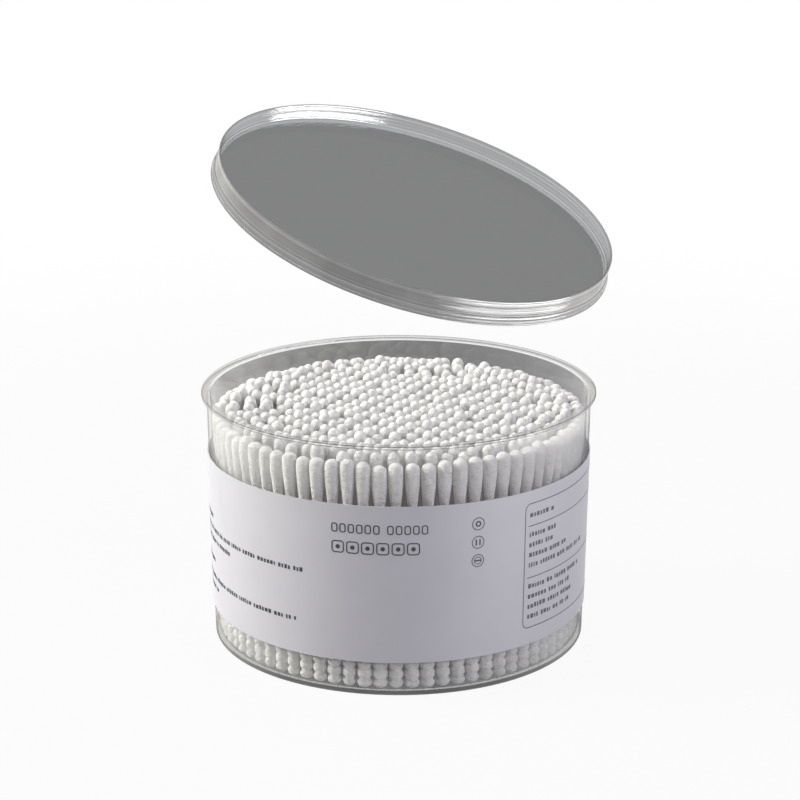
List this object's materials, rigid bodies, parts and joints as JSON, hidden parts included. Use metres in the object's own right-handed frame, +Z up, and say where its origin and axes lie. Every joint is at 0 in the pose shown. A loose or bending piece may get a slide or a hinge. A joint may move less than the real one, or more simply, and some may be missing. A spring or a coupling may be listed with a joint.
{
  "type": "tub of cotton swabs",
  "caption": "Round clear plastic tub of double-ended cotton swabs standing upright, with a wrap-around label and a clear press-on lid held above it, tilted.",
  "frame": {"origin": "centre of the tub's foot, on the surface it stands on", "axes": "+Z up the tub's axis; -Y towards the front of the label; +X to the right seen from the front"},
  "size_m": [0.1284, 0.128, 0.1633],
  "materials": {
    "clear_tub": "clear moulded polystyrene, glossy",
    "clear_lid": "clear moulded polystyrene, glossy",
    "label_paper": "white film label with a satin face",
    "bamboo": "plain bamboo",
    "cotton": "wound white cotton"
  },
  "bodies": {
    "tub_and_swabs": {"tub": "clear_tub", "label": "label_paper", "sticks_ring_1": "bamboo", "round_tips_ring_1": "cotton", "spiral_tips_ring_1": "cotton", "sticks_ring_2": "bamboo", "round_tips_ring_2": "cotton", "spiral_tips_ring_2": "cotton", "sticks_ring_3": "bamboo", "round_tips_ring_3": "cotton", "spiral_tips_ring_3": "cotton", "sticks_ring_4": "bamboo", "round_tips_ring_4": "cotton", "spiral_tips_ring_4": "cotton", "sticks_core_outer": "bamboo", "round_tips_core_outer": "cotton", "spiral_tips_core_outer": "cotton", "sticks_core_middle": "bamboo", "round_tips_core_middle": "cotton", "spiral_tips_core_middle": "cotton", "sticks_core_inner": "bamboo", "round_tips_core_inner": "cotton", "spiral_tips_core_inner": "cotton"},
    "lid": {"lid": "clear_lid"}
  },
  "joints": [
    {"name": "lid_lift", "type": "hinge", "parent": "tub_and_swabs", "child": "lid", "pos_m": [0.12917, -0.09733, 0.09305], "axis": [0.6018, 0.7986, 0], "range_deg": [-20, 0]}
  ]
}
